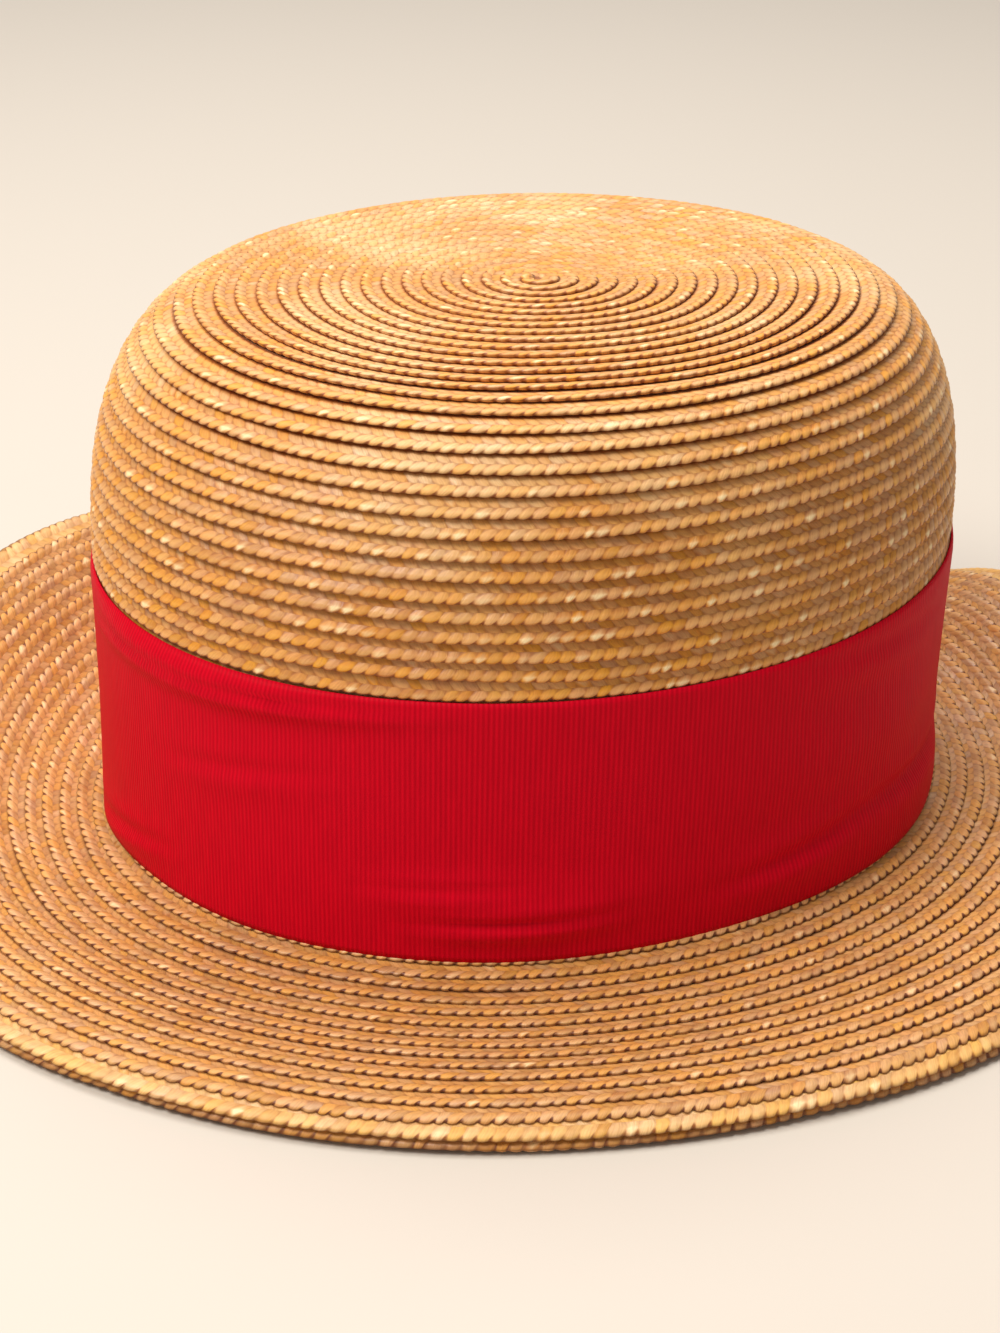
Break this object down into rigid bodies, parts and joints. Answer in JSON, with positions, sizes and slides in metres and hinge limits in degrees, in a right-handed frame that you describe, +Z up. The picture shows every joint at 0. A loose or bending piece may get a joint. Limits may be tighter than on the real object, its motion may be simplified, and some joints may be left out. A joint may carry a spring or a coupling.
{
  "type": "straw sun hat",
  "caption": "Braided straw sun hat with a soft-shouldered flat crown, a wide brim that rolls up at the back and a broad red ribbon round the crown.",
  "frame": {"origin": "middle of the hat's outline on the table, at the height its rim rests on", "axes": "+X along the hat's long axis, front to back of the head; +Z up through the crown; +Y to the side where the brim rolls up"},
  "size_m": [0.3056, 0.2808, 0.1277],
  "materials": {
    "crown_straw": "golden braided straw plait, satin, with dark gaps under each course",
    "brim_straw": "honey brown braided straw plait, satin",
    "edge_straw": "paler wide straw plait, satin, clear herringbone",
    "ribbon_red": "red grosgrain ribbon with fine upright ribs and a soft sheen"
  },
  "bodies": {
    "root": {"crown_tip": "crown_straw", "crown_side": "crown_straw", "brim": "brim_straw", "brim_edge": "edge_straw", "hat_band": "ribbon_red"}
  },
  "joints": []
}
